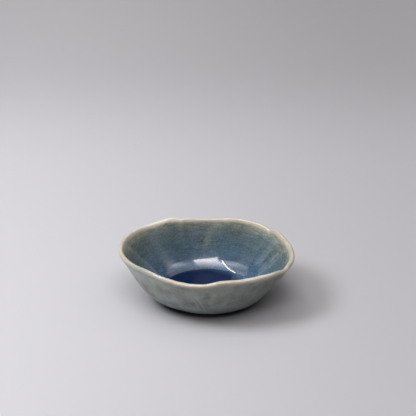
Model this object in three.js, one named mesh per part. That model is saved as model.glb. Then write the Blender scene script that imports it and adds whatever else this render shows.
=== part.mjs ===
// An oval, hand-pressed stoneware bowl: celadon glaze outside, a cream lip and a pool of cobalt glass inside.
// Millimetres, +Z up. The origin is on the table, under the middle of the lip's outline as seen from above.
// +X runs along the bowl's long side.
//
// The pot is made as a potter makes it. Each piece is thrown round, as a section turned about the axis, and
// then the whole pot is squeezed oval and its soft lip is pushed about by fingers. One press moves every
// piece, so the glaze coats keep their seat on the clay.

import * as THREE from "three";

// The wall and floor of the thrown pot, before it is pressed

const LIP_RADIUS = 68; // from the axis to the middle of the lip
const LIP_TOP = 45.8; // from the table to the crest of the clay lip
const LIP_THICKNESS = 2.6;
const LIP_LEAN = 60; // degrees from level, where the wall meets the lip
const LIP_RUN = 16; // how long the wall keeps that lean
const FLOOR_RADIUS = 36; // where the floor's middle line starts to turn up
const FLOOR_RUN = 9; // how slowly it turns up
const FLOOR_THICKNESS = 4;

// The well inside. The wall is thickest at its foot, so that the level floor turns up gently.

const WELL_RADIUS = 27.5; // where the level floor inside ends
const WELL_TURN_SHARE = 0.29; // how far up the wall the turn ends, as a share of the wall's length
const WELL_START_RUN = 7; // how slowly the turn starts
const WELL_END_RUN = 5; // how slowly it ends

// The foot ring

const FOOT_HEIGHT = 2.6; // from the table to the underside of the floor
const FOOT_INSET = 2; // from the edge of the level floor in to the ring
const FOOT_TOP_WIDTH = 5.6;
const FOOT_BASE_WIDTH = 4.6;
const FOOT_EDGE = 0.9; // the round of its two lower edges

// The glaze

const GLAZE_THICKNESS = 0.5;
const SEAT_GAP = 0.3; // the clearance between pieces that touch
const LIP_COAT_DEPTH = 1.4; // how far the cream coat reaches down the wall from the lip
const GLAZE_LINE = 1.5; // how far up the wall the outer coat starts
const POOL_DEPTH = 1.8;
const POOL_EDGE = 0.35; // how thick the pool still is at its shore
const RECESS_COAT_MARGIN = 0.6; // the bare clay between the foot ring and the coat in its recess

// The press

const SQUEEZE_AT_FOOT = 3.4; // how far the long side moves out and the short side in, outside
const SQUEEZE_IN_WELL = 1.5; // inside, where the pot stays nearly round
const SQUEEZE_AT_LIP = 5;
const TOUCH_FADE = 1.3; // how fast a finger's touch dies away below the lip

// Where fingers moved the soft lip. The bearing runs anticlockwise from +X, in degrees, and so does the
// spread. Out and up are how far the crest moved there.
const LIP_TOUCHES = [
  { bearing: 352, spread: 22, out: 0, up: -2.6 },
  { bearing: 14, spread: 16, out: -1.4, up: 0 },
  { bearing: 38, spread: 4, out: 0.3, up: -1 },
  { bearing: 62, spread: 12, out: 0, up: 1.3 },
  { bearing: 91, spread: 13, out: -0.4, up: -0.7 },
  { bearing: 113, spread: 3, out: -0.6, up: -0.4 },
  { bearing: 119, spread: 6, out: 0, up: 1.4 },
  { bearing: 136, spread: 6, out: 0, up: -0.8 },
  { bearing: 140, spread: 26, out: 0, up: 1.7 },
  { bearing: 155, spread: 26, out: 1.2, up: 0 },
  { bearing: 184, spread: 6, out: 0.5, up: 0 },
  { bearing: 216, spread: 14, out: -2.6, up: 1.5 },
  { bearing: 210, spread: 5, out: 0, up: -0.7 },
  { bearing: 258, spread: 13, out: 1.1, up: -1.4 },
  { bearing: 267, spread: 5, out: 0, up: -0.6 },
  { bearing: 281, spread: 7, out: 0, up: 0.9 },
  { bearing: 305, spread: 9, out: 0, up: 0.4 },
  { bearing: 322, spread: 16, out: 1.4, up: 0.6 },
  { bearing: 333, spread: 6, out: 0.5, up: -0.4 },
];

// Where the thrown wall was pushed out at the belly, and in above the foot. The height is that of the middle of
// the push.
const BELLY_HEIGHT = 18;
const WAIST_HEIGHT = 6;
const BELLY_TOUCHES = [
  { bearing: 205, spread: 20, height: BELLY_HEIGHT, reach: 8, out: 1.2 },
  { bearing: 233, spread: 14, height: WAIST_HEIGHT, reach: 6, out: -1.8 },
];

// How finely the curves are cut into flats

const COLUMNS = 80; // round the pot
const WALL_STEPS = 7; // up the wall outside
const INSIDE_STEPS = 5; // up the wall inside, from the end of the well's turn
const WELL_STEPS = 4; // round that turn
const MIDDLE_STEPS = 100; // along the wall's middle line, to tell its sides apart
const LIP_STEPS = 4; // over the clay lip
const COAT_LIP_STEPS = 5; // over the cream coat
const EDGE_STEPS = 2;

const quarterTurn = Math.PI / 2;
const coatFace = SEAT_GAP + GLAZE_THICKNESS; // from the clay to the outside of its glaze

// The wall's middle line, from the edge of the level floor up to the middle of the lip

const floorMiddle = FOOT_HEIGHT + FLOOR_THICKNESS / 2;
const floorTop = FOOT_HEIGHT + FLOOR_THICKNESS;
const footMiddle = FLOOR_RADIUS - FOOT_INSET - FOOT_TOP_WIDTH / 2;
const lipLean = THREE.MathUtils.degToRad(LIP_LEAN);
const lipMiddle = new THREE.Vector2(LIP_RADIUS, LIP_TOP - LIP_THICKNESS / 2);
const wallLine = new THREE.CubicBezierCurve(
  new THREE.Vector2(FLOOR_RADIUS, floorMiddle),
  new THREE.Vector2(FLOOR_RADIUS + FLOOR_RUN, floorMiddle),
  new THREE.Vector2(lipMiddle.x - LIP_RUN * Math.cos(lipLean), lipMiddle.y - LIP_RUN * Math.sin(lipLean)),
  lipMiddle,
);
const wallLength = wallLine.getLength();

// The shares of the wall's length at which the glazes start and stop
const lipCoatShare = 1 - LIP_COAT_DEPTH / wallLength;
const glazeStopShare = lipCoatShare - SEAT_GAP / wallLength;
const glazeLineShare = GLAZE_LINE / wallLength;

const OUTSIDE = 1;
const INSIDE = -1;

// A point beside the wall: how far along it, on which side, and how proud of the clay.
function besideWall(share, side, proud) {
  const point = wallLine.getPointAt(share);
  const along = wallLine.getTangentAt(share);
  const away = THREE.MathUtils.lerp(FLOOR_THICKNESS, LIP_THICKNESS, share) / 2 + proud;
  return new THREE.Vector2(point.x + side * away * along.y, point.y - side * away * along.x);
}

function alongWall(from, to, side, proud, steps) {
  const points = [];
  for (let i = 0; i <= steps; i++) {
    points.push(besideWall(THREE.MathUtils.lerp(from, to, i / steps), side, proud));
  }
  return points;
}

// The round inside, from the level floor up to the wall.
function wellTurn(proud) {
  const start = new THREE.Vector2(WELL_RADIUS, floorTop + proud);
  const end = besideWall(WELL_TURN_SHARE, INSIDE, proud);
  const startHandle = new THREE.Vector2(start.x + WELL_START_RUN, start.y);
  const endHandle = wallLine.getTangentAt(WELL_TURN_SHARE).multiplyScalar(-WELL_END_RUN).add(end);
  return new THREE.CubicBezierCurve(start, startHandle, endHandle, end).getPoints(WELL_STEPS);
}

// The inside, from the level floor up the wall to a share of its length.
function insideWall(to, proud) {
  const wall = alongWall(WELL_TURN_SHARE, to, INSIDE, proud, INSIDE_STEPS);
  return [...wellTurn(proud), ...wall.slice(1)];
}

// The round of the lip, from one side of the wall over to the other.
function overLip(fromSide, proud, steps) {
  const points = [];
  const radius = LIP_THICKNESS / 2 + proud;
  for (let i = 1; i < steps; i++) {
    const angle = lipLean - fromSide * quarterTurn * (1 - (2 * i) / steps);
    points.push(new THREE.Vector2(radius * Math.cos(angle), radius * Math.sin(angle)).add(lipMiddle));
  }
  return points;
}

// The part of a rising section that lies below a height, cut off at that height.
function belowHeight(section, height) {
  const end = section.findIndex((point) => point.y > height);
  const last = section[end - 1];
  const next = section[end];
  const cut = last.clone().lerp(next, (height - last.y) / (next.y - last.y));
  return [...section.slice(0, end), cut];
}

function onAxis(height) {
  return new THREE.Vector2(0, height);
}

// The press

const middlePoints = wallLine.getPoints(MIDDLE_STEPS);

// Whether a thrown point is inside the pot, above the middle line of its floor and wall.
function isInside(radius, height) {
  const beyond = middlePoints.find((point) => point.x > radius) ?? middlePoints.at(-1);
  return height > beyond.y;
}

function touch(bearing, place) {
  const apart = THREE.MathUtils.euclideanModulo(bearing - place.bearing + 180, 360) - 180;
  return Math.exp(-((apart / place.spread) ** 2) / 2);
}

// Squeezes a thrown piece oval and moves its lip and belly. Nothing below the pool's surface is lifted, so the pool
// stays level and the foot stays flat.
function press(geometry) {
  const place = geometry.getAttribute("position");
  const poolTop = floorTop + coatFace + SEAT_GAP + POOL_DEPTH;
  for (let i = 0; i < place.count; i++) {
    const radius = Math.hypot(place.getX(i), place.getY(i));
    const turn = Math.atan2(place.getY(i), place.getX(i));
    const height = place.getZ(i);
    const overFloor = Math.min(radius / FLOOR_RADIUS, 1);
    const climb = Math.max(0, (height - poolTop) / (LIP_TOP - poolTop));
    const soft = climb ** TOUCH_FADE;
    const bearing = THREE.MathUtils.radToDeg(turn);
    const lowSqueeze = isInside(radius, height) ? SQUEEZE_IN_WELL : SQUEEZE_AT_FOOT;
    let out = overFloor * THREE.MathUtils.lerp(lowSqueeze, SQUEEZE_AT_LIP, climb) * Math.cos(2 * turn);
    let up = 0;
    for (const finger of LIP_TOUCHES) {
      out += soft * finger.out * touch(bearing, finger);
      up += soft * finger.up * touch(bearing, finger);
    }
    for (const palm of BELLY_TOUCHES) {
      const apart = (height - palm.height) / palm.reach;
      out += overFloor * palm.out * touch(bearing, palm) * Math.exp(-(apart ** 2) / 2);
    }
    place.setXYZ(i, (radius + out) * Math.cos(turn), (radius + out) * Math.sin(turn), height + up);
  }
  geometry.computeVertexNormals();
  return geometry;
}

// Turns a section about the pot's axis. The section runs anticlockwise, with the radius to the right.
function throwPiece(section) {
  const geometry = new THREE.LatheGeometry(section, COLUMNS);
  geometry.rotateX(quarterTurn);
  return geometry;
}

const bowl = new THREE.Group();
bowl.name = "oval_bowl";

function addPiece(name, section, colour, roughness) {
  const material = new THREE.MeshStandardMaterial({ color: colour, roughness: roughness, metalness: 0 });
  material.name = name;
  const mesh = new THREE.Mesh(press(throwPiece(section)), material);
  mesh.name = name;
  bowl.add(mesh);
}

// The clay

function claySection() {
  return [
    onAxis(FOOT_HEIGHT),
    ...alongWall(0, 1, OUTSIDE, 0, WALL_STEPS),
    ...overLip(OUTSIDE, 0, LIP_STEPS),
    ...insideWall(1, 0).reverse(),
    onAxis(floorTop),
  ];
}

// The foot ring widens towards the floor, where it is luted on, and stands on a flat base.
function footSection() {
  const top = FOOT_HEIGHT - SEAT_GAP;
  const section = [];
  for (const side of [INSIDE, OUTSIDE]) {
    const corner = footMiddle + side * (FOOT_BASE_WIDTH / 2 - FOOT_EDGE);
    const edge = [];
    for (let i = 0; i <= EDGE_STEPS; i++) {
      const angle = (quarterTurn * i) / EDGE_STEPS;
      edge.push(
        new THREE.Vector2(corner + side * FOOT_EDGE * Math.sin(angle), FOOT_EDGE * (1 - Math.cos(angle))),
      );
    }
    edge.push(new THREE.Vector2(footMiddle + (side * FOOT_TOP_WIDTH) / 2, top));
    section.push(...(side === INSIDE ? edge.reverse() : edge));
  }
  section.push(section[0].clone());
  return section;
}

// The glaze coats

function innerGlazeSection() {
  return [
    onAxis(floorTop + SEAT_GAP),
    ...insideWall(glazeStopShare, SEAT_GAP),
    ...insideWall(glazeStopShare, coatFace).reverse(),
    onAxis(floorTop + coatFace),
  ];
}

function outerGlazeSection() {
  const section = [
    ...alongWall(glazeLineShare, glazeStopShare, OUTSIDE, coatFace, WALL_STEPS),
    ...alongWall(glazeStopShare, glazeLineShare, OUTSIDE, SEAT_GAP, WALL_STEPS),
  ];
  section.push(section[0].clone());
  return section;
}

function lipGlazeSection() {
  const section = [
    ...alongWall(lipCoatShare, 1, OUTSIDE, coatFace, 1),
    ...overLip(OUTSIDE, coatFace, COAT_LIP_STEPS),
    ...alongWall(1, lipCoatShare, INSIDE, coatFace, 1),
    ...alongWall(lipCoatShare, 1, INSIDE, SEAT_GAP, 1),
    ...overLip(INSIDE, SEAT_GAP, COAT_LIP_STEPS),
    ...alongWall(1, lipCoatShare, OUTSIDE, SEAT_GAP, 1),
  ];
  section.push(section[0].clone());
  return section;
}

// The pool lies on the inner glaze and has a level top, as melted glass has.
function poolSection() {
  const bedFace = coatFace + SEAT_GAP;
  const top = floorTop + bedFace + POOL_DEPTH;
  const bed = belowHeight(insideWall(glazeStopShare, bedFace), top - POOL_EDGE);
  const shore = bed.at(-1);
  return [onAxis(floorTop + bedFace), ...bed, new THREE.Vector2(shore.x, top), onAxis(top)];
}

function undersideGlazeSection() {
  const edge = footMiddle - FOOT_TOP_WIDTH / 2 - RECESS_COAT_MARGIN;
  const top = FOOT_HEIGHT - SEAT_GAP;
  const base = top - GLAZE_THICKNESS;
  return [onAxis(base), new THREE.Vector2(edge, base), new THREE.Vector2(edge, top), onAxis(top)];
}

addPiece("clay_body", claySection(), "#7d7468", 0.85);
addPiece("foot_ring", footSection(), "#6b6156", 0.9);
addPiece("inner_glaze", innerGlazeSection(), "#4f6b73", 0.25);
addPiece("outer_glaze", outerGlazeSection(), "#8a9890", 0.35);
addPiece("lip_glaze", lipGlazeSection(), "#cfc9b4", 0.25);
addPiece("glaze_pool", poolSection(), "#16224f", 0.1);
addPiece("underside_glaze", undersideGlazeSection(), "#8a9890", 0.4);

// The lip's outline decides where the middle is, and the whole pot moves there.

const outline = new THREE.Box3().setFromObject(bowl);
const middle = outline.getCenter(new THREE.Vector3());
for (const piece of bowl.children) {
  piece.geometry.translate(-middle.x, -middle.y, 0);
}

export default bowl;
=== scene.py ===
"""An oval, hand-pressed stoneware bowl: celadon outside, a cream lip, and a pool of cobalt glass in it.

The pieces are made the way the frame's solids were. Each is a section spun about the pot's axis. One
press then squeezes the whole pot oval and moves its soft lip.

Sizes are in metres. Bearings are in degrees, anticlockwise from +X, which is called east here, and +Y is
called north. A run is how far the glaze has run down from the lip's crest. It is over zero inside the
bowl, and under zero outside it.
"""

import bisect
import math
from collections import namedtuple

import bmesh
import bpy
import numpy as np
from mathutils import Matrix, Vector, geometry, noise


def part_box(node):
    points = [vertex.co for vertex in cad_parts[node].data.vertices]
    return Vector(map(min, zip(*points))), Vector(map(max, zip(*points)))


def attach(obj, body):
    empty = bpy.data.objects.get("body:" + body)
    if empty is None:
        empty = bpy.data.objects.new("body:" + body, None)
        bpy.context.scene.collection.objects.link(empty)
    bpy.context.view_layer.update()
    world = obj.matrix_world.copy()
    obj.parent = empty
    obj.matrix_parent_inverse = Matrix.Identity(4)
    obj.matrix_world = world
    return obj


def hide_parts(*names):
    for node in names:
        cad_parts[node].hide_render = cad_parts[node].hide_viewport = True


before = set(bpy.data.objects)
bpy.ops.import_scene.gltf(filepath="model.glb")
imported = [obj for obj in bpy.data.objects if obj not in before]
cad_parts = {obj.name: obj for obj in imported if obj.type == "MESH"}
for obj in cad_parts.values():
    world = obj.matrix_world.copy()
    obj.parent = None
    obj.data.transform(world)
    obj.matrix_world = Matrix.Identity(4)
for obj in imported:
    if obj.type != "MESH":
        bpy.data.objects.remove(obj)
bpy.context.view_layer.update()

MM = 0.001

# The thrown wall and floor

LIP_RADIUS = 68 * MM
LIP_TOP = 45.8 * MM
LIP_THICKNESS = 2.6 * MM
LIP_LEAN = math.radians(60)
LIP_RUN = 16 * MM
FLOOR_RADIUS = 36 * MM
FLOOR_RUN = 9 * MM
FLOOR_THICKNESS = 4 * MM

WELL_RADIUS = 27.5 * MM  # where the level floor inside starts to turn up
WELL_TURN_SHARE = 0.29  # the share of the wall's length at which that turn ends
WELL_START_RUN = 7 * MM  # how slowly it starts
WELL_END_RUN = 5 * MM  # how slowly it ends

# The foot ring

FOOT_HEIGHT = 2.6 * MM
FOOT_INSET = 2 * MM
FOOT_TOP_WIDTH = 5.6 * MM
FOOT_BASE_WIDTH = 4.6 * MM
FOOT_EDGE = 0.9 * MM

# The glaze

COAT_BACK = 0.05 * MM  # from the clay to the back of its coat
COAT_FACE = 0.72 * MM  # from the clay to the coat's face
LIP_COAT_DEPTH = 1.4 * MM
GLAZE_LINE = 1.5 * MM
GLAZE_ROLL = 0.5 * MM  # how far the coat's lower edge takes to round off
POOL_TOP = 9.5 * MM  # no finger's touch reaches lower than this
POOL_LEVEL = 9.1 * MM  # the cooled glass, which sank a little below that
POOL_RISE = 0.3 * MM  # how far the pool's edge climbs the wall
POOL_CURL = 6 * MM  # how wide the curl of that edge is
POOL_FILM = 0.04 * MM  # how thick the pool is where it ends on the wall
RECESS_COAT_MARGIN = 0.6 * MM

# The press

SQUEEZE_AT_FOOT = 3.4 * MM  # outside
SQUEEZE_IN_WELL = 1.5 * MM  # inside, where the pot stayed nearly round
SQUEEZE_AT_LIP = 5 * MM
TOUCH_FADE = 1.3  # how fast a finger's touch dies away down the wall

# Where fingers moved the soft lip: at which bearing, how far round it, and how far out and up it went

Touch = namedtuple("Touch", "bearing spread out up")
LIP_TOUCHES = [
    Touch(352, 22, 0, -2.6 * MM),
    Touch(14, 16, -1.4 * MM, 0),
    Touch(28, 5, 0.4 * MM, 0.6 * MM),
    Touch(37, 3, 0.5 * MM, -1.7 * MM),
    Touch(62, 12, 0, 1.3 * MM),
    Touch(91, 13, -0.4 * MM, -0.7 * MM),
    Touch(113, 3, -0.6 * MM, -0.4 * MM),
    Touch(119, 6, 0, 1.4 * MM),
    Touch(136, 6, 0, -0.8 * MM),
    Touch(140, 26, 0, 1.7 * MM),
    Touch(155, 26, 1.2 * MM, 0),
    Touch(184, 6, 0.5 * MM, 0),
    Touch(216, 14, -2.6 * MM, 1.5 * MM),
    Touch(210, 5, 0, -0.7 * MM),
    Touch(258, 13, 1.1 * MM, -1.4 * MM),
    Touch(267, 5, 0, -0.6 * MM),
    Touch(281, 7, 0, 0.9 * MM),
    Touch(305, 9, 0, 0.4 * MM),
    Touch(322, 16, 1.4 * MM, 0.6 * MM),
    Touch(331, 3.5, 0.9 * MM, -0.8 * MM),
]

# Where a palm moved the belly: also how high, and how far up and down it reached

Palm = namedtuple("Palm", "bearing spread height reach out")
BELLY_TOUCHES = [
    Palm(205, 20, 18 * MM, 8 * MM, 1.2 * MM),
    Palm(233, 14, 6 * MM, 6 * MM, -1.8 * MM),
]

# What the frame's solids are too coarse for: the fold where the lip was pinched, and the unevenness that
# hands leave

FOLD_BEARING = 112
FOLD_SPREAD = 1.3
FOLD_IN = 0.7 * MM
FOLD_NOTCH = 0.5 * MM
FOLD_FADE = 4  # how fast the fold and the lip's small waves die away down the wall

HAND_SIZE = 30 * MM  # across one soft dent of the wall
HAND_DEPTH = 0.2 * MM
HAND_FULL = 1 / 3  # how much of the way up those dents are at full depth
LIP_SIZE = 9 * MM  # along one small wave of the lip
LIP_DEPTH = 0.42 * MM
RIPPLE_SIZE = 8 * MM  # across one ripple in the glaze inside
RIPPLE_DEPTH = 0.085 * MM
RIPPLE_FADE = 4  # how fast the ripples die away towards the middle of the floor

# Glaze colours, in linear light. A step's first number is its run.

CREAM = (0.34, 0.31, 0.255)
THIN_CREAM = (0.277, 0.255, 0.208)
INSIDE_COLOURS = [
    (0 * MM, (0.22, 0.22, 0.17)),
    (5 * MM, (0.135, 0.15, 0.128)),
    (11 * MM, (0.07, 0.093, 0.096)),
    (20 * MM, (0.046, 0.077, 0.092)),
    (31 * MM, (0.036, 0.07, 0.1)),
    (42 * MM, (0.028, 0.061, 0.107)),
    (52 * MM, (0.022, 0.052, 0.1)),
]
SHALLOW_COLOUR = (0.007, 0.018, 0.045)
NAVY_COLOUR = (0.0014, 0.0035, 0.017)
BLUER_NAVY_COLOUR = (0.0022, 0.009, 0.032)
OUTSIDE_COLOURS = [
    (-60 * MM, (0.235, 0.268, 0.29)),
    (-48 * MM, (0.215, 0.242, 0.243)),
    (-30 * MM, (0.182, 0.204, 0.192)),
    (-5 * MM, (0.19, 0.209, 0.189)),
    (0 * MM, (0.22, 0.23, 0.2)),
]

# Where the cream covers the lip, as runs, and how far that edge wanders

COVER_INSIDE_START = 1.8 * MM
COVER_INSIDE_END = 5.6 * MM
COVER_OUTSIDE_START = -3 * MM
COVER_OUTSIDE_END = -8 * MM
COVER_WANDER_SIZE = 9 * MM
COVER_WANDER = 2.4 * MM
COVER_DETAIL = 2

# The pool's navy glass, as distances from its middle

POOL_MIDDLE = (-4.3 * MM, 0, 0)
DEEP_RADIUS = 30.5 * MM
NAVY_RADIUS = 34.5 * MM
SHALLOW_RADIUS = 39.6 * MM
SHORE_WANDER = 4 * MM

# Patches and streaks in the glazes

PATCH_SIZE = 14 * MM
PATCH_LAG = 15 * MM  # how far the colours inside move up and down the wall
PATCH_STRENGTH = 0.5
LIP_PATCH_SIZE = 7 * MM
POOL_PATCH_SIZE = 16 * MM
PATCHES_LOW = 0.3  # between these two a patch passes from one colour to another
PATCHES_HIGH = 0.7
STREAK_WIDTH = 3.5 * MM
STREAK_LENGTH = 22 * MM
STREAK_STRENGTH = 0.5
STREAK_CURL = 0.5
STROKE_LENGTH = 12 * MM  # fine curling strokes round the pot inside
STROKE_WIDTH = 2.3 * MM
STROKE_CURL = 1.6
STROKE_STRENGTH = 1.7
OUTSIDE_PATCH_SIZE = 9 * MM
OUTSIDE_PATCH_STRENGTH = 1.3
OUTSIDE_STREAK_STRENGTH = 0.55
OUTSIDE_STREAK_WIDTH = 6 * MM
OUTSIDE_STREAK_LENGTH = 20 * MM
OUTSIDE_STREAK_CURL = 1.2
PALE_END_START = 22 * MM  # the ends are paler inside, and on the right that is painted light
PALE_END_FULL = 58 * MM
RIGHT_END_PAINTED_LIGHT_GAIN = 1.3
LEFT_END_GAIN = 1.2
PAINTED_LIGHT_SIDE_REACH = 75 * MM  # painted light makes the left side paler outside, and painted shade the right side darker
PAINTED_LIGHT_LEFT_GAIN = 1.4
PAINTED_SHADE_RIGHT_GAIN = 0.85
CLOUD_DETAIL = 3
RUNS_DETAIL = 2
RUNS_RADIUS = 50 * MM  # of the wall, where a bearing is turned into a distance round it
BENT_SIZE = 9 * MM
BENT_DEPTH = 4 * MM
BENT_DETAIL = 1
RUN_FULL_SHARE = 0.4  # how much of a single run, from its middle, is at full strength

# Single runs and patches of glaze. Each lies about a bearing, goes from its first run to its last, and
# moves sideways by its slant on the way.

Run = namedtuple("Run", "bearing slant width first last strength")
INSIDE_RUN_COLOUR = (0.185, 0.208, 0.178)
INSIDE_RUNS = [
    Run(84, 0.22, 4.5 * MM, 4 * MM, 32 * MM, 0.3),
    Run(24, 0.16, 5 * MM, 5 * MM, 40 * MM, 0.3),
    Run(13, 0.1, 2.4 * MM, 8 * MM, 47 * MM, 0.36),
    Run(6, 0.2, 1.8 * MM, 5 * MM, 36 * MM, 0.34),
    Run(350, 0.1, 4.5 * MM, 9 * MM, 44 * MM, 0.22),
]
TEAL = (0.062, 0.1, 0.13)
TEAL_PLACES = [
    Run(352, 0, 34 * MM, 12 * MM, 64 * MM, 0.65),
]
OUTSIDE_RUN_COLOUR = (0.35, 0.355, 0.29)
OUTSIDE_RUNS = [
    Run(257, -0.22, 1.8 * MM, -16 * MM, -52 * MM, 0.7),
    Run(253, -0.2, 1.3 * MM, -14 * MM, -46 * MM, 0.6),
    Run(277, 0.1, 3.5 * MM, -6 * MM, -36 * MM, 0.25),
]
# Painted light: a paler celadon on the left end under the lip, where the key lamp falls on the wall
PAINTED_LIGHT_CELADON = (0.37, 0.395, 0.37)
PAINTED_LIGHT_CELADON_PLACES = [
    Run(188, 0, 45 * MM, 8 * MM, -24 * MM, 0.9),
]
THICK_CREAM = (0.5, 0.465, 0.385)
THICK_CREAM_PLACES = [
    Run(126, 0, 34 * MM, -14 * MM, 14 * MM, 0.8),
    Run(306, 0, 20 * MM, -12 * MM, 8 * MM, 0.45),
]
CELADON_LIP = (0.18, 0.21, 0.19)
CELADON_LIP_PLACES = [
    Run(220, 0, 28 * MM, -9 * MM, 0.8 * MM, 0.9),
]

# Crackle and grain, in every glaze

CRAZE_CELL = 3.2 * MM
CRAZE_STRETCH = (1, 1, 2.6)  # the cells are flatter than they are wide
CRAZE_LINE = 0.2  # a line's width, as a share of its cell
CRAZE_LIFT = 1.08  # what the glaze between the lines gains
CURL_SCALE = 0.7
CURL_DEPTH = 1.6
CURL_DETAIL = 2
GRAIN_SIZE = 1.2 * MM
GRAIN_DEPTH = 0.03 * MM

# Each glaze's finish: how rough it is, how much that varies, its clear coat and how dark its crackle is

Finish = namedtuple("Finish", "roughness spread coat lines")
CREAM_FINISH = Finish(0.34, 0.05, 0.35, 0.05)
CELADON_FINISH = Finish(0.42, 0.06, 0, 0.1)
INNER_FINISH = Finish(0.27, 0.05, 1, 0.16)
COBALT_FINISH = Finish(0.1, 0.04, 0, 0)
COAT_ROUGHNESS = 0.05
COAT_IOR = 1.8
POOL_IOR = 1.12  # low, because the pool mirrors the room less than the coat round it does

# The clay, bare on the foot and hidden under the coats

FOOT_CLAY = (0.2, 0.15, 0.11)
DARK_FOOT_CLAY = (0.11, 0.08, 0.06)
WALL_CLAY = (0.22, 0.18, 0.14)
DARK_WALL_CLAY = (0.15, 0.12, 0.09)
CLAY_SMOOTHEST = 0.75
CLAY_ROUGHEST = 0.95
CLAY_LOW = 0.35  # between these two a patch passes from dark clay to pale
CLAY_HIGH = 0.65
SAND_SIZE = 0.8 * MM
SAND_LINE = 0.2
SAND_DEPTH = 0.1 * MM

# How finely the surfaces are cut

DOUBLINGS = 4  # a short sector is spun, and doubled this often to close the ring
SECTOR_COLUMNS = 30
FACE_ROWS = 90
TURN_ROWS = 50
BACK_ROWS = 24
LIP_ROWS = 30
EDGE_ROWS = 6
WALL_SAMPLES = 400
MERGE_DISTANCE = 0.001 * MM
SMOOTH_ANGLE = math.radians(40)

# The camera

CAMERA_PLACE = (1.22 * MM, -1039.6 * MM, 549.5 * MM)
CAMERA_PITCH = 24.09  # degrees below level
CAMERA_LENS = 117.08  # millimetres, as the sensor's width is
SENSOR_WIDTH = 36

# The studio. The room glows softly, and more overhead than low down. Directions are unit vectors. Their
# X and Y say where the light comes from as seen from above, and their Z is the sine of its elevation.

STUDIO_TINT = (1.04, 0.985, 0.99)
LOW_GLOW = 0.08
HIGH_GLOW = 0.55
SKY_LOW = 0.66  # from here up to the next, the low glow passes to the high one
SKY_HIGH = 0.76
BACKDROP_GLOW = 0.42  # what the camera itself sees past the floor
BACKDROP_TINT = (1.0, 0.98, 1.01)

# The skylight: a bright opening over the camera's side of the bowl, which fades away overhead

SKYLIGHT_GLOW = 5.6
SKYLIGHT_LOW = 0.715
SKYLIGHT_LOW_EDGE = 0.74
SKYLIGHT_RISE = 0.1  # how much higher its low side lies, to each length eastwards
SKYLIGHT_WEST = -0.25
SKYLIGHT_EAST = 0.17
SKYLIGHT_SLANT = 0.36  # how far the east side leans in, to each length along it
SKYLIGHT_EDGE = 0.03
SKYLIGHT_FADE_START = -0.6
SKYLIGHT_FADE_END = 0.35

# The tube: a narrow lamp along the skylight's west side

TUBE_GLOW = 22.0
TUBE_WEST = -0.28
TUBE_BOW = 0.32
TUBE_HALF_WIDTH = 0.011
TUBE_START = -0.5
TUBE_END = 0.75
TUBE_FADE = 0.12

# The walls at both sides, which throw back a little of that light

WEST_GLOW = 1.5
WEST_MIDDLE = (-0.5, -0.1, 0)
WEST_REACH = 0.42
EAST_GLOW = 1.6
EAST_MIDDLE = (0.62, -0.03, 0)
EAST_REACH = 0.34

# Two soft lamps that look at the bowl, with their power in watts. The small one lights only the lip,
# and gives it its highlights.

Softbox = namedtuple("Softbox", "bearing elevation distance width power")
KEY_LAMP = Softbox(196, 51, 1.4, 0.5, 18)
SPARK_LAMP = Softbox(183, 56, 1.4, 0.24, 4)

# The floor's colour has light and shade painted in: painted shade makes it a little darker far off,
# painted light paler on the left, and a painted shadow darker under the bowl

FLOOR_COLOUR = (0.327, 0.331, 0.346)
FLOOR_NEAR = 280 * MM
FLOOR_FAR = 680 * MM
FLOOR_FAR_PAINTED_SHADE_GAIN = 0.83
FLOOR_SIDE = 260 * MM
FLOOR_LEFT_PAINTED_LIGHT_GAIN = 1.14
FLOOR_RIGHT_PAINTED_SHADE_GAIN = 0.91
PAINTED_SHADOW_DARKEST_RADIUS = 34 * MM  # how far from the pot's axis the painted shadow under the bowl is darkest
PAINTED_SHADOW_END_RADIUS = 60 * MM
PAINTED_SHADOW_GAIN = 0.62
FLOOR_HALF_WIDTH = 4
FLOOR_ROUGHNESS = 0.8

# The two sides of the wall

OUTSIDE = 1
INSIDE = -1

floor_middle = FOOT_HEIGHT + FLOOR_THICKNESS / 2
floor_top = FOOT_HEIGHT + FLOOR_THICKNESS
foot_middle = FLOOR_RADIUS - FOOT_INSET - FOOT_TOP_WIDTH / 2
lip_middle = Vector((LIP_RADIUS, LIP_TOP - LIP_THICKNESS / 2))


# The thrown section. A point has its radius, its height and its run.

Point = namedtuple("Point", "radius height run")


def wall_line():
    """The wall's middle line, as points from the floor's edge up to the lip, and their distances"""
    start = Vector((FLOOR_RADIUS, floor_middle))
    lean = Vector((math.cos(LIP_LEAN), math.sin(LIP_LEAN)))
    points = geometry.interpolate_bezier(
        start.to_3d(),
        (start + Vector((FLOOR_RUN, 0))).to_3d(),
        (lip_middle - lean * LIP_RUN).to_3d(),
        lip_middle.to_3d(),
        WALL_SAMPLES,
    )
    points = [point.to_2d() for point in points]
    distances = [0.0]
    for here, after in zip(points, points[1:]):
        distances.append(distances[-1] + (after - here).length)
    return points, distances


line_points, line_distances = wall_line()
wall_length = line_distances[-1]
lip_coat_share = 1 - LIP_COAT_DEPTH / wall_length
glaze_line_share = GLAZE_LINE / wall_length


def crest_run(angle, proud):
    """How far the glaze has run from the lip's crest to an angle on the round of the lip"""
    return (angle - math.pi / 2) * (LIP_THICKNESS / 2 + proud)


def beside_wall(share, side, proud):
    """A point beside the wall: how far along it, on which side, and how proud of the clay"""
    distance = share * wall_length
    index = min(max(bisect.bisect(line_distances, distance), 1), len(line_points) - 1)
    before, after = line_points[index - 1], line_points[index]
    part = (distance - line_distances[index - 1]) / (line_distances[index] - line_distances[index - 1])
    middle = before.lerp(after, part)
    along = (after - before).normalized()
    away = (FLOOR_THICKNESS + (LIP_THICKNESS - FLOOR_THICKNESS) * share) / 2 + proud
    run = crest_run(LIP_LEAN - side * math.pi / 2, proud) - side * (1 - share) * wall_length
    return Point(middle.x + side * away * along.y, middle.y - side * away * along.x, run)


def along_wall(start, end, side, proud, rows):
    return [beside_wall(start + (end - start) * row / rows, side, proud) for row in range(rows + 1)]


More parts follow.
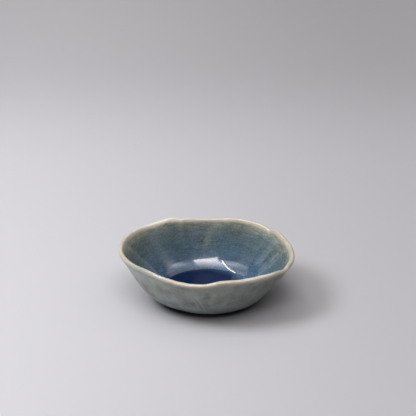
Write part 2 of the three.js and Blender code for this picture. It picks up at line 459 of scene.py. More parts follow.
def well_turn(proud, rows):
    """The round inside, from the level floor up to the wall"""
    wall = beside_wall(WELL_TURN_SHARE, INSIDE, proud)
    above = beside_wall(WELL_TURN_SHARE + 1 / WALL_SAMPLES, INSIDE, proud)
    end = Vector((wall.radius, wall.height, 0))
    along = (Vector((above.radius, above.height, 0)) - end).normalized()
    start = Vector((WELL_RADIUS, floor_top + proud, 0))
    curve = geometry.interpolate_bezier(
        start, start + Vector((WELL_START_RUN, 0, 0)), end - along * WELL_END_RUN, end, rows + 1
    )
    points = []
    run = wall.run
    for place, after in zip(curve[::-1], [end, *curve[:0:-1]]):
        run += (after - place).length
        points.append(Point(place.x, place.y, run))
    return points[::-1]


def over_lip(from_side, proud, rows):
    """The round of the lip, from one side of the wall over to the other"""
    points = []
    radius = LIP_THICKNESS / 2 + proud
    for row in range(1, rows):
        angle = LIP_LEAN - from_side * math.pi / 2 * (1 - 2 * row / rows)
        points.append(
            Point(
                lip_middle.x + radius * math.cos(angle),
                lip_middle.y + radius * math.sin(angle),
                crest_run(angle, proud),
            )
        )
    return points


def level(start, end, height, run, rows):
    """A level stretch between two radii, over which the glaze runs on inwards"""
    points = []
    for row in range(rows + 1):
        radius = start + (end - start) * row / rows
        points.append(Point(radius, height, run + abs(radius - max(start, end))))
    return points


# The press

def touched(bearings, place):
    """How strongly a touch is felt at each bearing, up to one"""
    apart = (bearings - place.bearing + 180) % 360 - 180
    return np.exp(-((apart / place.spread) ** 2) / 2)


def unevenness(points, size):
    """A soft noise from about -1 to 1, with dents of that size"""
    return np.array([noise.noise(Vector(point) / size) for point in points])


def press(points, run):
    """Squeezes thrown points oval, and moves their lip and belly"""
    radius = np.hypot(points[:, 0], points[:, 1])
    turn = np.arctan2(points[:, 1], points[:, 0])
    bearing = np.degrees(turn)
    height = points[:, 2]
    over_floor = np.minimum(radius / FLOOR_RADIUS, 1)
    climb = np.maximum(0, (height - POOL_TOP) / (LIP_TOP - POOL_TOP))
    soft = climb ** TOUCH_FADE
    low_squeeze = np.where(run > 0, SQUEEZE_IN_WELL, SQUEEZE_AT_FOOT)
    squeeze = low_squeeze + (SQUEEZE_AT_LIP - low_squeeze) * climb
    out = over_floor * squeeze * np.cos(2 * turn)
    up = np.zeros(len(points))
    for finger in LIP_TOUCHES:
        out += soft * finger.out * touched(bearing, finger)
        up += soft * finger.up * touched(bearing, finger)
    for palm in BELLY_TOUCHES:
        apart = (height - palm.height) / palm.reach
        out += over_floor * palm.out * touched(bearing, palm) * np.exp(-(apart**2) / 2)
    fold = touched(bearing, Touch(FOLD_BEARING, FOLD_SPREAD, 0, 0)) * np.minimum(climb, 1) ** FOLD_FADE
    out -= FOLD_IN * fold
    up -= FOLD_NOTCH * fold
    out += HAND_DEPTH * over_floor * np.minimum(climb / HAND_FULL, 1) * unevenness(points, HAND_SIZE)
    up += LIP_DEPTH * np.minimum(climb, 1) ** FOLD_FADE * unevenness(points, LIP_SIZE)
    up += RIPPLE_DEPTH * np.where(run > 0, over_floor**RIPPLE_FADE, 0) * unevenness(points, RIPPLE_SIZE)
    pressed = np.empty_like(points)
    pressed[:, 0] = (radius + out) * np.cos(turn)
    pressed[:, 1] = (radius + out) * np.sin(turn)
    pressed[:, 2] = height + up
    return pressed


# From a section to a piece

def spin_section(section, closed):
    """Spins a section about the pot's axis. It runs anticlockwise, with the radius to the right."""
    mesh = bmesh.new()
    glaze_run = mesh.verts.layers.float.new("glaze_run")
    outline = []
    for point in section:
        vertex = mesh.verts.new((point.radius, 0, point.height))
        vertex[glaze_run] = point.run
        outline.append(vertex)
    ends = outline[1:] + outline[:1] if closed else outline[1:]
    edges = [mesh.edges.new(pair) for pair in zip(outline, ends)]
    bmesh.ops.spin(
        mesh,
        geom=outline + edges,
        cent=(0, 0, 0),
        axis=(0, 0, 1),
        dvec=(0, 0, 0),
        angle=math.tau / 2**DOUBLINGS,
        steps=SECTOR_COLUMNS,
        use_merge=False,
        use_normal_flip=False,
        use_duplicate=False,
    )
    for doubling in range(DOUBLINGS):
        turn = Matrix.Rotation(math.tau / 2 ** (DOUBLINGS - doubling), 3, "Z")
        copy = bmesh.ops.duplicate(mesh, geom=[*mesh.verts, *mesh.edges, *mesh.faces])
        copied = [part for part in copy["geom"] if isinstance(part, bmesh.types.BMVert)]
        bmesh.ops.rotate(mesh, verts=copied, cent=(0, 0, 0), matrix=turn)
    bmesh.ops.remove_doubles(mesh, verts=mesh.verts, dist=MERGE_DISTANCE)
    bmesh.ops.recalc_face_normals(mesh, faces=mesh.faces)
    return mesh


def vertex_array(data):
    points = np.empty(len(data.vertices) * 3)
    data.vertices.foreach_get("co", points)
    return points.reshape(-1, 3)


def seat_in_frame(lip_coat):
    """The scale and shift that take the pressed pot into the frame, so its lip fills the lip's box"""
    low, high = (np.array(corner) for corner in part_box("lip_glaze"))
    points = vertex_array(lip_coat)
    own_low, own_high = points.min(0), points.max(0)
    scale = (high - low) / (own_high - own_low)
    shift = low - own_low * scale
    scale[2] = high[2] / own_high[2]  # the table stays at zero
    shift[2] = 0
    return scale, shift


def pressed_mesh(name, section, closed):
    """A spun and pressed mesh, which keeps at each point how far the glaze has run"""
    mesh = spin_section(section, closed)
    data = bpy.data.meshes.new(name)
    mesh.to_mesh(data)
    mesh.free()
    run = np.empty(len(data.vertices))
    data.attributes["glaze_run"].data.foreach_get("value", run)
    data.vertices.foreach_set("co", press(vertex_array(data), run).ravel())
    return data


def finish_piece(data, seat, material, slot, *nodes):
    """Seats a pressed mesh in the frame and makes it the piece that stands for some of its nodes"""
    scale, shift = seat
    data.vertices.foreach_set("co", (vertex_array(data) * scale + shift).ravel())
    data.update()
    data.shade_smooth()
    data.set_sharp_from_angle(angle=SMOOTH_ANGLE)
    data.materials.append(material)
    piece = bpy.data.objects.new(data.name, data)
    bpy.context.scene.collection.objects.link(piece)
    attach(piece, "root")
    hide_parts(*nodes)
    return piece


# The sections

def clay_section():
    return [
        Point(0, FOOT_HEIGHT, -wall_length),
        *along_wall(0, 1, OUTSIDE, 0, FACE_ROWS),
        *over_lip(OUTSIDE, 0, EDGE_ROWS),
        *along_wall(1, WELL_TURN_SHARE, INSIDE, 0, BACK_ROWS),
        *well_turn(0, BACK_ROWS)[-2::-1],
        Point(0, floor_top, wall_length),
    ]


def foot_section():
    """The ring widens towards the floor, where it is luted on, and stands on a flat base"""
    section = []
    for side in (INSIDE, OUTSIDE):
        corner = foot_middle + side * (FOOT_BASE_WIDTH / 2 - FOOT_EDGE)
        edge = []
        for row in range(EDGE_ROWS + 1):
            angle = math.pi / 2 * row / EDGE_ROWS
            radius = corner + side * FOOT_EDGE * math.sin(angle)
            edge.append(Point(radius, FOOT_EDGE * (1 - math.cos(angle)), 0))
        edge.append(Point(foot_middle + side * FOOT_TOP_WIDTH / 2, FOOT_HEIGHT, 0))
        section += edge[::-1] if side == INSIDE else edge
    return section


def inner_coat_section():
    back = well_turn(COAT_BACK, BACK_ROWS)
    back += along_wall(WELL_TURN_SHARE, lip_coat_share, INSIDE, COAT_BACK, BACK_ROWS)[1:]
    face = well_turn(COAT_FACE, TURN_ROWS)
    face += along_wall(WELL_TURN_SHARE, lip_coat_share, INSIDE, COAT_FACE, FACE_ROWS)[1:]
    middle_run = face[0].run + face[0].radius
    return [
        Point(0, floor_top + COAT_BACK, middle_run),
        *back,
        *face[::-1],
        Point(0, floor_top + COAT_FACE, middle_run),
    ]


def outer_coat_section():
    """The coat outside, which thins out in a round edge at the glaze line above the foot"""
    roll_share = glaze_line_share + GLAZE_ROLL / wall_length
    edge = []
    for row in range(EDGE_ROWS):
        angle = math.pi / 2 * row / EDGE_ROWS
        share = roll_share - GLAZE_ROLL / wall_length * math.cos(angle)
        edge.append(beside_wall(share, OUTSIDE, COAT_BACK + (COAT_FACE - COAT_BACK) * math.sin(angle)))
    return [
        *edge,
        *along_wall(roll_share, lip_coat_share, OUTSIDE, COAT_FACE, FACE_ROWS),
        *along_wall(lip_coat_share, roll_share, OUTSIDE, COAT_BACK, BACK_ROWS),
    ]


def lip_coat_section():
    return [
        *along_wall(lip_coat_share, 1, OUTSIDE, COAT_FACE, EDGE_ROWS),
        *over_lip(OUTSIDE, COAT_FACE, LIP_ROWS),
        *along_wall(1, lip_coat_share, INSIDE, COAT_FACE, EDGE_ROWS),
        *along_wall(lip_coat_share, 1, INSIDE, COAT_BACK, 1),
        *over_lip(INSIDE, COAT_BACK, EDGE_ROWS),
        *along_wall(1, lip_coat_share, OUTSIDE, COAT_BACK, 1),
    ]


def pool_section():
    """The pool lies on the inner coat. Its top is level, and curls up where it meets the wall."""
    turn = well_turn(COAT_FACE, TURN_ROWS)
    bed = [point for point in turn if point.height < POOL_LEVEL + POOL_RISE]
    edge = bed[-1]
    curl_start = edge.radius - POOL_CURL
    top = []
    for row in range(LIP_ROWS + 1):
        part = row / LIP_ROWS
        radius = edge.radius - POOL_CURL * part
        rise = (edge.height + POOL_FILM - POOL_LEVEL) * (1 - part) ** 2
        top.append(Point(radius, POOL_LEVEL + rise, edge.run + edge.radius - radius))
    top += level(curl_start, 0, POOL_LEVEL, edge.run + POOL_CURL, BACK_ROWS)[1:]
    return [Point(0, floor_top + COAT_FACE, 0), *bed, *top]


def underside_coat_section():
    """The thin coat in the recess inside the foot ring"""
    edge = foot_middle - FOOT_TOP_WIDTH / 2 - RECESS_COAT_MARGIN
    top = FOOT_HEIGHT - COAT_BACK
    base = FOOT_HEIGHT - COAT_FACE
    face = level(edge - GLAZE_ROLL, 0, base, 0, BACK_ROWS)[::-1]
    outline = [*face, Point(edge, (top + base) / 2, 0), Point(edge, top, 0), Point(0, top, 0)]
    return [point._replace(run=-wall_length) for point in outline]


# Materials. The helpers add a node or a few to a tree, and give back their output.

def connect(tree, source, socket):
    """Links a source to a socket, or sets the socket to a plain value"""
    if isinstance(source, bpy.types.NodeSocket):
        tree.links.new(source, socket)
    else:
        socket.default_value = source


def calculate(tree, operation, *sources):
    node = tree.nodes.new("ShaderNodeMath")
    node.operation = operation
    for source, socket in zip(sources, node.inputs):
        connect(tree, source, socket)
    return node.outputs["Value"]


def multiply_all(tree, *sources):
    product = sources[0]
    for source in sources[1:]:
        product = calculate(tree, "MULTIPLY", product, source)
    return product


def calculate_vector(tree, operation, *sources):
    node = tree.nodes.new("ShaderNodeVectorMath")
    node.operation = operation
    for source, socket in zip(sources, node.inputs):
        connect(tree, source, socket)
    return node.outputs["Vector"]


def scale_vector(tree, vector, amount):
    node = tree.nodes.new("ShaderNodeVectorMath")
    node.operation = "SCALE"
    connect(tree, vector, node.inputs["Vector"])
    connect(tree, amount, node.inputs["Scale"])
    return node.outputs["Vector"]


def vector_length(tree, vector):
    node = tree.nodes.new("ShaderNodeVectorMath")
    node.operation = "LENGTH"
    connect(tree, vector, node.inputs["Vector"])
    return node.outputs["Value"]


def flat(tree, vector):
    """A vector as seen from above, without its height"""
    return calculate_vector(tree, "MULTIPLY", vector, (1, 1, 0))


def split(tree, vector):
    """A vector's parts: how far it goes east, north and up"""
    node = tree.nodes.new("ShaderNodeSeparateXYZ")
    connect(tree, vector, node.inputs["Vector"])
    return node.outputs["X"], node.outputs["Y"], node.outputs["Z"]


def fade(tree, value, start, end, first, last):
    """Passes smoothly from the first value to the last as the value goes from start to end"""
    node = tree.nodes.new("ShaderNodeMapRange")
    node.interpolation_type = "SMOOTHSTEP"
    sockets = ("Value", "From Min", "From Max", "To Min", "To Max")
    for source, socket in zip((value, start, end, first, last), sockets):
        connect(tree, source, node.inputs[socket])
    return node.outputs["Result"]


def noise_value(tree, place, size, detail, curl=0.0):
    """A noise from zero to one, with patches of a size"""
    node = tree.nodes.new("ShaderNodeTexNoise")
    connect(tree, place, node.inputs["Vector"])
    connect(tree, calculate(tree, "DIVIDE", 1, size), node.inputs["Scale"])
    node.inputs["Detail"].default_value = detail
    connect(tree, curl, node.inputs["Distortion"])
    return node.outputs["Fac"]


def about_zero(tree, noise_of_one, reach):
    """A noise from zero to one, made a shift to either side of zero"""
    return calculate(tree, "MULTIPLY", calculate(tree, "SUBTRACT", noise_of_one, 0.5), reach)


def about_one(tree, noise_of_one, strength):
    """A noise from zero to one, made a gain to either side of one"""
    return calculate(tree, "MULTIPLY_ADD", calculate(tree, "SUBTRACT", noise_of_one, 0.5), strength, 1)


def blend(tree, amount, first, second):
    """Passes from the first colour to the second as the amount goes from zero to one"""
    node = tree.nodes.new("ShaderNodeMix")
    node.data_type = "RGBA"
    sockets = {socket.identifier: socket for socket in node.inputs}
    connect(tree, amount, sockets["Factor_Float"])
    for colour, name in ((first, "A_Color"), (second, "B_Color")):
        linked = isinstance(colour, bpy.types.NodeSocket)
        connect(tree, colour if linked else (*colour, 1), sockets[name])
    return next(socket for socket in node.outputs if socket.identifier == "Result_Color")


def colour_steps(tree, value, steps):
    """A colour for a value, between the steps' own values and colours"""
    node = tree.nodes.new("ShaderNodeValToRGB")
    start, end = steps[0][0], steps[-1][0]
    share = calculate(tree, "DIVIDE", calculate(tree, "SUBTRACT", value, start), end - start)
    connect(tree, share, node.inputs["Fac"])
    ramp = node.color_ramp
    for at, colour in steps[1:-1]:
        ramp.elements.new((at - start) / (end - start))
    for element, (at, colour) in zip(ramp.elements, steps):
        element.color = (*colour, 1)
    return node.outputs["Color"]


# A node group has a tree, a dictionary of its inputs, and a function that gives it an output

Group = namedtuple("Group", "tree inputs give")


def new_group(name, **inputs):
    """A new shader group, with inputs of the kinds named"""
    tree = bpy.data.node_groups.new(name, "ShaderNodeTree")
    for label, kind in inputs.items():
        tree.interface.new_socket(label, in_out="INPUT", socket_type="NodeSocket" + kind)
    entry = tree.nodes.new("NodeGroupInput")
    leave = tree.nodes.new("NodeGroupOutput")

    def give(label, kind, source):
        tree.interface.new_socket(label, in_out="OUTPUT", socket_type="NodeSocket" + kind)
        tree.links.new(source, leave.inputs[label])

    return Group(tree, {label: entry.outputs[label] for label in inputs}, give)


def use_group(tree, group, **sources):
    """Puts a group into a tree, feeds its inputs, and gives back its outputs"""
    node = tree.nodes.new("ShaderNodeGroup")
    node.node_tree = group.tree
    for label, source in sources.items():
        connect(tree, source, node.inputs[label])
    return node.outputs


def make_cloud():
    """Soft patches of about one size"""
    group = new_group("cloud", Place="Vector", Size="Float")
    tree, inputs = group.tree, group.inputs
    group.give("Value", "Float", noise_value(tree, inputs["Place"], inputs["Size"], CLOUD_DETAIL))
    return group


def make_runs():
    """Streaks that run down the wall, of one width round the pot and one length down it"""
    group = new_group("runs", Place="Vector", Run="Float", Width="Float", Length="Float", Curl="Float")
    tree, inputs = group.tree, group.inputs
    turn = calculate_vector(tree, "NORMALIZE", flat(tree, inputs["Place"]))
    round_pot = scale_vector(tree, turn, calculate(tree, "DIVIDE", RUNS_RADIUS, inputs["Width"]))
    down = tree.nodes.new("ShaderNodeCombineXYZ")
    connect(tree, calculate(tree, "DIVIDE", inputs["Run"], inputs["Length"]), down.inputs["Z"])
    place = calculate_vector(tree, "ADD", round_pot, down.outputs["Vector"])
    group.give("Value", "Float", noise_value(tree, place, 1, RUNS_DETAIL, curl=inputs["Curl"]))
    return group


def make_single_run():
    """A mask of one slanting run of glaze on the wall"""
    group = new_group(
        "single_run",
        Place="Vector",
        Run="Float",
        Bearing="Float",
        Slant="Float",
        Width="Float",
        Start="Float",
        End="Float",
    )
    tree, inputs = group.tree, group.inputs
    east, north, _height = split(tree, inputs["Place"])
    bearing = calculate(tree, "ARCTAN2", north, east)
    apart = calculate(tree, "SUBTRACT", bearing, calculate(tree, "RADIANS", inputs["Bearing"]))
    across = calculate(tree, "MULTIPLY", calculate(tree, "WRAP", apart, math.pi, -math.pi), RUNS_RADIUS)
    middle = calculate(tree, "MULTIPLY", inputs["Slant"], inputs["Run"])
    bent = noise_value(tree, inputs["Place"], BENT_SIZE, BENT_DETAIL)
    wander = about_zero(tree, bent, BENT_DEPTH)
    off = calculate(tree, "ADD", calculate(tree, "SUBTRACT", across, middle), wander)
    beside = fade(tree, calculate(tree, "ABSOLUTE", off), 0, inputs["Width"], 1, 0)
    half = calculate(tree, "MULTIPLY", calculate(tree, "SUBTRACT", inputs["End"], inputs["Start"]), 0.5)
    centre = calculate(tree, "ADD", inputs["Start"], half)
    along = calculate(tree, "ABSOLUTE", calculate(tree, "SUBTRACT", inputs["Run"], centre))
    reach = calculate(tree, "ABSOLUTE", half)
    within = fade(tree, along, calculate(tree, "MULTIPLY", reach, RUN_FULL_SHARE), reach, 1, 0)
    group.give("Mask", "Float", calculate(tree, "MULTIPLY", beside, within))
    return group


def make_craze():
    """The fine curling crackle in the glaze, as a mask of its lines"""
    group = new_group("craze", Place="Vector", Cell="Float", Line="Float")
    tree, inputs = group.tree, group.inputs
    flatter = tree.nodes.new("ShaderNodeMapping")
    connect(tree, inputs["Place"], flatter.inputs["Vector"])
    flatter.inputs["Scale"].default_value = CRAZE_STRETCH
    place = scale_vector(tree, flatter.outputs["Vector"], calculate(tree, "DIVIDE", 1, inputs["Cell"]))
    curl = tree.nodes.new("ShaderNodeTexNoise")
    connect(tree, place, curl.inputs["Vector"])
    curl.inputs["Scale"].default_value = CURL_SCALE
    curl.inputs["Detail"].default_value = CURL_DETAIL
    shift = calculate_vector(tree, "SUBTRACT", curl.outputs["Color"], (0.5, 0.5, 0.5))
    curled = calculate_vector(tree, "ADD", place, scale_vector(tree, shift, CURL_DEPTH))
    cells = tree.nodes.new("ShaderNodeTexVoronoi")
    cells.feature = "DISTANCE_TO_EDGE"
    connect(tree, curled, cells.inputs["Vector"])
    cells.inputs["Scale"].default_value = 1
    group.give("Lines", "Float", fade(tree, cells.outputs["Distance"], 0, inputs["Line"], 1, 0))
    return group


def make_cream_cover():
    """A mask of where the cream glaze covers the lip"""
    group = new_group("cream_cover", Place="Vector", Run="Float")
    tree, inputs = group.tree, group.inputs
    uneven = noise_value(tree, inputs["Place"], COVER_WANDER_SIZE, COVER_DETAIL)
    run = calculate(tree, "ADD", inputs["Run"], about_zero(tree, uneven, COVER_WANDER))
    inside = fade(tree, run, COVER_INSIDE_START, COVER_INSIDE_END, 1, 0)
    outside = fade(tree, run, COVER_OUTSIDE_END, COVER_OUTSIDE_START, 0, 1)
    group.give("Mask", "Float", calculate(tree, "MULTIPLY", inside, outside))
    return group


def paint_runs(tree, place, run, colour, places, paint):
    """A colour with runs or patches of another colour over it"""
    for patch in places:
        mask = use_group(
            tree,
            single_run,
            Place=place,
            Run=run,
            Bearing=patch.bearing,
            Slant=patch.slant,
            Width=patch.width,
            Start=patch.first,
            End=patch.last,
        )["Mask"]
        colour = blend(tree, calculate(tree, "MULTIPLY", mask, patch.strength), colour, paint)
    return colour


def make_inside_colour():
    """The glaze inside: olive grey under the lip, teal down the wall, and navy in the pool"""
    group = new_group("inside_colour", Place="Vector", Run="Float")
    tree, inputs = group.tree, group.inputs
    place, run = inputs["Place"], inputs["Run"]
    patches = use_group(tree, cloud, Place=place, Size=PATCH_SIZE)["Value"]
    streaks = use_group(
        tree, runs, Place=place, Run=run, Width=STREAK_WIDTH, Length=STREAK_LENGTH, Curl=STREAK_CURL
    )["Value"]
    strokes = use_group(
        tree, runs, Place=place, Run=run, Width=STROKE_LENGTH, Length=STROKE_WIDTH, Curl=STROKE_CURL
    )["Value"]
    lagging = calculate(tree, "ADD", run, about_zero(tree, patches, PATCH_LAG))
    colour = colour_steps(tree, lagging, INSIDE_COLOURS)
    east, _north, _height = split(tree, place)
    gain = multiply_all(
        tree,
        about_one(tree, streaks, STREAK_STRENGTH),
        about_one(tree, patches, PATCH_STRENGTH),
        about_one(tree, strokes, STROKE_STRENGTH),
        # painted light on the right end inside
        fade(tree, east, PALE_END_START, PALE_END_FULL, 1, RIGHT_END_PAINTED_LIGHT_GAIN),
        fade(tree, east, -PALE_END_START, -PALE_END_FULL, 1, LEFT_END_GAIN),
    )
    colour = scale_vector(tree, colour, gain)
    colour = paint_runs(tree, place, run, colour, TEAL_PLACES, TEAL)
    colour = paint_runs(tree, place, run, colour, INSIDE_RUNS, INSIDE_RUN_COLOUR)

    across_pool = flat(tree, calculate_vector(tree, "SUBTRACT", place, POOL_MIDDLE))
    wander = about_zero(tree, patches, SHORE_WANDER)
    from_middle = calculate(tree, "ADD", vector_length(tree, across_pool), wander)
    shallow = fade(tree, from_middle, NAVY_RADIUS, SHALLOW_RADIUS, 1, 0)
    colour = blend(tree, shallow, colour, SHALLOW_COLOUR)
    clouds = use_group(tree, cloud, Place=place, Size=POOL_PATCH_SIZE)["Value"]
    bluer = fade(tree, clouds, PATCHES_LOW, PATCHES_HIGH, 0, 1)
    deep = fade(tree, from_middle, DEEP_RADIUS, NAVY_RADIUS, 1, 0)
    colour = blend(tree, deep, colour, blend(tree, bluer, NAVY_COLOUR, BLUER_NAVY_COLOUR))
    group.give("Color", "Color", colour)
    return group


def make_outside_colour():
    """The celadon outside: painted light makes it paler on the left and painted shade darker on the
    right, with faint runs down it, and bluer near the foot
    """
    group = new_group("outside_colour", Place="Vector", Run="Float")
    tree, inputs = group.tree, group.inputs
    place, run = inputs["Place"], inputs["Run"]
    patches = use_group(tree, cloud, Place=place, Size=OUTSIDE_PATCH_SIZE)["Value"]
    streaks = use_group(
        tree,
        runs,
        Place=place,
        Run=run,
        Width=OUTSIDE_STREAK_WIDTH,
        Length=OUTSIDE_STREAK_LENGTH,
        Curl=OUTSIDE_STREAK_CURL,
    )["Value"]
    colour = colour_steps(tree, run, OUTSIDE_COLOURS)
    east, _north, _height = split(tree, place)
    gain = multiply_all(
        tree,
        about_one(tree, streaks, OUTSIDE_STREAK_STRENGTH),
        about_one(tree, patches, OUTSIDE_PATCH_STRENGTH),
        # painted light on the left, where the key lamp stands, and painted shade on the right
        fade(tree, east, -PAINTED_LIGHT_SIDE_REACH, PAINTED_LIGHT_SIDE_REACH, PAINTED_LIGHT_LEFT_GAIN, PAINTED_SHADE_RIGHT_GAIN),
    )
    colour = scale_vector(tree, colour, gain)
    # painted light on the left end under the lip
    colour = paint_runs(tree, place, run, colour, PAINTED_LIGHT_CELADON_PLACES, PAINTED_LIGHT_CELADON)
    colour = paint_runs(tree, place, run, colour, OUTSIDE_RUNS, OUTSIDE_RUN_COLOUR)
    group.give("Color", "Color", colour)
    return group


cloud = make_cloud()
runs = make_runs()
single_run = make_single_run()
craze = make_craze()
cream_cover = make_cream_cover()
inside_colour = make_inside_colour()
outside_colour = make_outside_colour()


def new_material(name):
    """A new material, its tree and surface, and the place and the run that its patterns are drawn by"""
    material = bpy.data.materials.new(name)
    material.use_nodes = True
    tree = material.node_tree
    place = tree.nodes.new("ShaderNodeTexCoord").outputs["Object"]
    run = tree.nodes.new("ShaderNodeAttribute")
    run.attribute_name = "glaze_run"
    return material, tree, tree.nodes["Principled BSDF"], place, run.outputs["Fac"]


def roughen(tree, surface, height, depth):
    """Gives a surface the fine relief of a pattern from zero to one"""
    bump = tree.nodes.new("ShaderNodeBump")
    bump.inputs["Strength"].default_value = 1
    bump.inputs["Distance"].default_value = depth
    connect(tree, height, bump.inputs["Height"])
    connect(tree, bump.outputs["Normal"], surface.inputs["Normal"])


def make_glaze(name, finish):
    """A glaze: cream over the lip, its own side's colour below that, and darker lines of crackle"""
    material, tree, surface, place, run = new_material(name)
    outside = calculate(tree, "LESS_THAN", run, 0)
    inner = use_group(tree, inside_colour, Place=place, Run=run)["Color"]
    outer = use_group(tree, outside_colour, Place=place, Run=run)["Color"]
    patches = use_group(tree, cloud, Place=place, Size=LIP_PATCH_SIZE)["Value"]
    thickness = fade(tree, patches, PATCHES_LOW, PATCHES_HIGH, 0, 1)
    cream = blend(tree, thickness, THIN_CREAM, CREAM)
    cream = paint_runs(tree, place, run, cream, THICK_CREAM_PLACES, THICK_CREAM)
    cream = paint_runs(tree, place, run, cream, CELADON_LIP_PLACES, CELADON_LIP)
    cover = use_group(tree, cream_cover, Place=place, Run=run)["Mask"]
    colour = blend(tree, cover, blend(tree, outside, inner, outer), cream)
    lines = use_group(tree, craze, Place=place, Cell=CRAZE_CELL, Line=CRAZE_LINE)["Lines"]
    dark = multiply_all(tree, lines, calculate(tree, "SUBTRACT", 1, cover), finish.lines)
    colour = scale_vector(tree, colour, calculate(tree, "SUBTRACT", CRAZE_LIFT, dark))
    connect(tree, colour, surface.inputs["Base Color"])
    grain = use_group(tree, cloud, Place=place, Size=GRAIN_SIZE)["Value"]
    smoothest, roughest = finish.roughness - finish.spread, finish.roughness + finish.spread
    roughness = fade(tree, grain, PATCHES_LOW, PATCHES_HIGH, smoothest, roughest)
    connect(tree, roughness, surface.inputs["Roughness"])
    surface.inputs["Coat Weight"].default_value = finish.coat
    surface.inputs["Coat Roughness"].default_value = COAT_ROUGHNESS
    surface.inputs["Coat IOR"].default_value = COAT_IOR
    cracked = calculate(tree, "MULTIPLY", lines, finish.lines)
    roughen(tree, surface, calculate(tree, "SUBTRACT", grain, cracked), GRAIN_DEPTH)
    return material


def make_bare_clay(name, colour, dark_colour):
    """Fired clay with sandy grains in it"""
    material, tree, surface, place, _run = new_material(name)
    patches = use_group(tree, cloud, Place=place, Size=SAND_SIZE)["Value"]
    grain = use_group(tree, craze, Place=place, Cell=SAND_SIZE, Line=SAND_LINE)["Lines"]
    paler = fade(tree, patches, CLAY_LOW, CLAY_HIGH, 0, 1)
    connect(tree, blend(tree, paler, dark_colour, colour), surface.inputs["Base Color"])
    roughness = fade(tree, patches, PATCHES_LOW, PATCHES_HIGH, CLAY_SMOOTHEST, CLAY_ROUGHEST)
    connect(tree, roughness, surface.inputs["Roughness"])
    roughen(tree, surface, calculate(tree, "SUBTRACT", patches, grain), SAND_DEPTH)
    return material


cream_glaze = make_glaze("cream_glaze", CREAM_FINISH)
celadon_glaze = make_glaze("celadon_glaze", CELADON_FINISH)
inner_glaze = make_glaze("inner_glaze", INNER_FINISH)
cobalt_pool = make_glaze("cobalt_pool", COBALT_FINISH)
cobalt_pool.node_tree.nodes["Principled BSDF"].inputs["IOR"].default_value = POOL_IOR
stoneware = make_bare_clay("stoneware", WALL_CLAY, DARK_WALL_CLAY)
bare_foot = make_bare_clay("bare_foot", FOOT_CLAY, DARK_FOOT_CLAY)

# The pieces. A closed section runs all round its piece, and an open one starts and ends on the axis.

lip_data = pressed_mesh("cream_lip", lip_coat_section(), True)
seat = seat_in_frame(lip_data)
lip = finish_piece(lip_data, seat, cream_glaze, "cream_glaze", "lip_glaze")

for name, section, closed, material, slot, node in (
    ("celadon_coat", outer_coat_section(), True, celadon_glaze, "celadon_glaze", "outer_glaze"),
    ("inner_coat", inner_coat_section(), False, inner_glaze, "inner_glaze", "inner_glaze"),
    ("cobalt_glass", pool_section(), False, cobalt_pool, "cobalt_pool", "glaze_pool"),
    ("clay_wall", clay_section(), False, stoneware, "stoneware", "clay_body"),
    ("standing_ring", foot_section(), True, bare_foot, "bare_foot", "foot_ring"),
    ("recess_coat", underside_coat_section(), False, celadon_glaze, "celadon_glaze", "underside_glaze"),
):
    finish_piece(pressed_mesh(name, section, closed), seat, material, slot, node)


# The stage

def add_floor():
    data = bpy.data.meshes.new("floor")
    mesh = bmesh.new()
    bmesh.ops.create_grid(mesh, x_segments=1, y_segments=1, size=FLOOR_HALF_WIDTH)
    mesh.to_mesh(data)
    mesh.free()
    floor = bpy.data.objects.new("floor", data)
    material, tree, surface, place, _run = new_material("pale_floor")
    east, north, _height = split(tree, place)
    from_axis = vector_length(tree, flat(tree, place))
    gain = multiply_all(
        tree,
        # painted shade far off
        fade(tree, north, FLOOR_NEAR, FLOOR_FAR, 1, FLOOR_FAR_PAINTED_SHADE_GAIN),
        # painted light on the left, painted shade on the right
        fade(tree, east, -FLOOR_SIDE, FLOOR_SIDE, FLOOR_LEFT_PAINTED_LIGHT_GAIN, FLOOR_RIGHT_PAINTED_SHADE_GAIN),
        # a painted shadow under the bowl, where the bowl shades the floor
        fade(tree, from_axis, PAINTED_SHADOW_DARKEST_RADIUS, PAINTED_SHADOW_END_RADIUS, PAINTED_SHADOW_GAIN, 1),
    )
    connect(tree, scale_vector(tree, FLOOR_COLOUR, gain), surface.inputs["Base Color"])
    surface.inputs["Roughness"].default_value = FLOOR_ROUGHNESS
    data.materials.append(material)
    bpy.context.scene.collection.objects.link(floor)


def add_softbox(name, softbox):
    """A square soft light that looks at the bowl"""
    data = bpy.data.lights.new(name, "AREA")
    data.shape = "SQUARE"
    data.size = softbox.width
    data.energy = softbox.power
    light = bpy.data.objects.new(name, data)
    turn, rise = math.radians(softbox.bearing), math.radians(softbox.elevation)
    towards = Vector((math.cos(turn) * math.cos(rise), math.sin(turn) * math.cos(rise), math.sin(rise)))
    light.location = towards * softbox.distance
    light.rotation_euler = towards.to_track_quat("Z", "Y").to_euler()
    bpy.context.scene.collection.objects.link(light)
    return light


def add_lamps(lip):
    key = add_softbox("key", KEY_LAMP)
    key.visible_glossy = False  # the glazes mirror the skylight and the tube instead
    spark = add_softbox("spark", SPARK_LAMP)
    only_lip = bpy.data.collections.new("only_lip")
    only_lip.objects.link(lip)
    spark.light_linking.receiver_collection = only_lip


def skylight_glow(tree, east, north, climb):
    """A bright opening with crisp sides, which fades away to the north"""
    slanted = calculate(tree, "MULTIPLY_ADD", north, SKYLIGHT_SLANT, east)
    lifted = calculate(tree, "MULTIPLY_ADD", east, -SKYLIGHT_RISE, climb)
    return multiply_all(
        tree,
        fade(tree, lifted, SKYLIGHT_LOW, SKYLIGHT_LOW_EDGE, 0, SKYLIGHT_GLOW),
        fade(tree, east, SKYLIGHT_WEST - SKYLIGHT_EDGE, SKYLIGHT_WEST + SKYLIGHT_EDGE, 0, 1),
        fade(tree, slanted, SKYLIGHT_EAST - SKYLIGHT_EDGE, SKYLIGHT_EAST + SKYLIGHT_EDGE, 1, 0),
        fade(tree, north, SKYLIGHT_FADE_START, SKYLIGHT_FADE_END, 1, 0),
    )


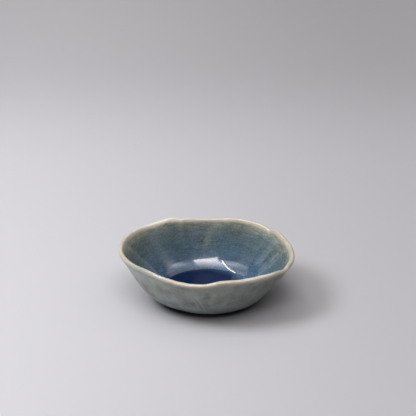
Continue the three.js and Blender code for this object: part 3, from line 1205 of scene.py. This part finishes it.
def tube_glow(tree, east, north, climb):
    """A narrow lamp that runs north, bowed at its south end"""
    south = calculate(tree, "MINIMUM", north, 0)
    bowed = calculate(tree, "MULTIPLY_ADD", calculate(tree, "MULTIPLY", south, south), TUBE_BOW, east)
    off = calculate(tree, "ABSOLUTE", calculate(tree, "SUBTRACT", bowed, TUBE_WEST))
    return multiply_all(
        tree,
        fade(tree, off, TUBE_HALF_WIDTH / 2, TUBE_HALF_WIDTH, TUBE_GLOW, 0),
        fade(tree, north, TUBE_START, TUBE_START + TUBE_FADE, 0, 1),
        fade(tree, north, TUBE_END - TUBE_FADE, TUBE_END, 1, 0),
        calculate(tree, "GREATER_THAN", climb, 0),
    )


def wall_glow(tree, direction, climb, middle, reach, strength):
    """A soft round glow about a direction"""
    apart = calculate_vector(tree, "SUBTRACT", direction, middle)
    from_middle = vector_length(tree, flat(tree, apart))
    overhead = calculate(tree, "GREATER_THAN", climb, 0)
    return calculate(tree, "MULTIPLY", fade(tree, from_middle, 0, reach, strength, 0), overhead)


def add_world():
    world = bpy.data.worlds.new("studio")
    world.use_nodes = True
    tree = world.node_tree
    direction = tree.nodes.new("ShaderNodeTexCoord").outputs["Generated"]
    east, north, climb = split(tree, direction)
    glow = fade(tree, climb, SKY_LOW, SKY_HIGH, LOW_GLOW, HIGH_GLOW)
    for lamp in (
        skylight_glow(tree, east, north, climb),
        tube_glow(tree, east, north, climb),
        wall_glow(tree, direction, climb, WEST_MIDDLE, WEST_REACH, WEST_GLOW),
        wall_glow(tree, direction, climb, EAST_MIDDLE, EAST_REACH, EAST_GLOW),
    ):
        glow = calculate(tree, "ADD", glow, lamp)
    by_camera = tree.nodes.new("ShaderNodeLightPath").outputs["Is Camera Ray"]
    strength = tree.nodes.new("ShaderNodeMix")
    connect(tree, by_camera, strength.inputs["Factor"])
    connect(tree, glow, strength.inputs["A"])
    strength.inputs["B"].default_value = BACKDROP_GLOW
    background = tree.nodes["Background"]
    connect(tree, blend(tree, by_camera, STUDIO_TINT, BACKDROP_TINT), background.inputs["Color"])
    connect(tree, strength.outputs["Result"], background.inputs["Strength"])
    bpy.context.scene.world = world


def add_camera():
    data = bpy.data.cameras.new("photo_camera")
    data.sensor_width = SENSOR_WIDTH
    data.lens = CAMERA_LENS
    camera = bpy.data.objects.new("photo_camera", data)
    camera.location = CAMERA_PLACE
    camera.rotation_euler = (math.radians(90 - CAMERA_PITCH), 0, 0)
    bpy.context.scene.collection.objects.link(camera)
    bpy.context.scene.camera = camera


add_floor()
add_lamps(lip)
add_world()
add_camera()
bpy.context.scene.view_settings.view_transform = "Standard"
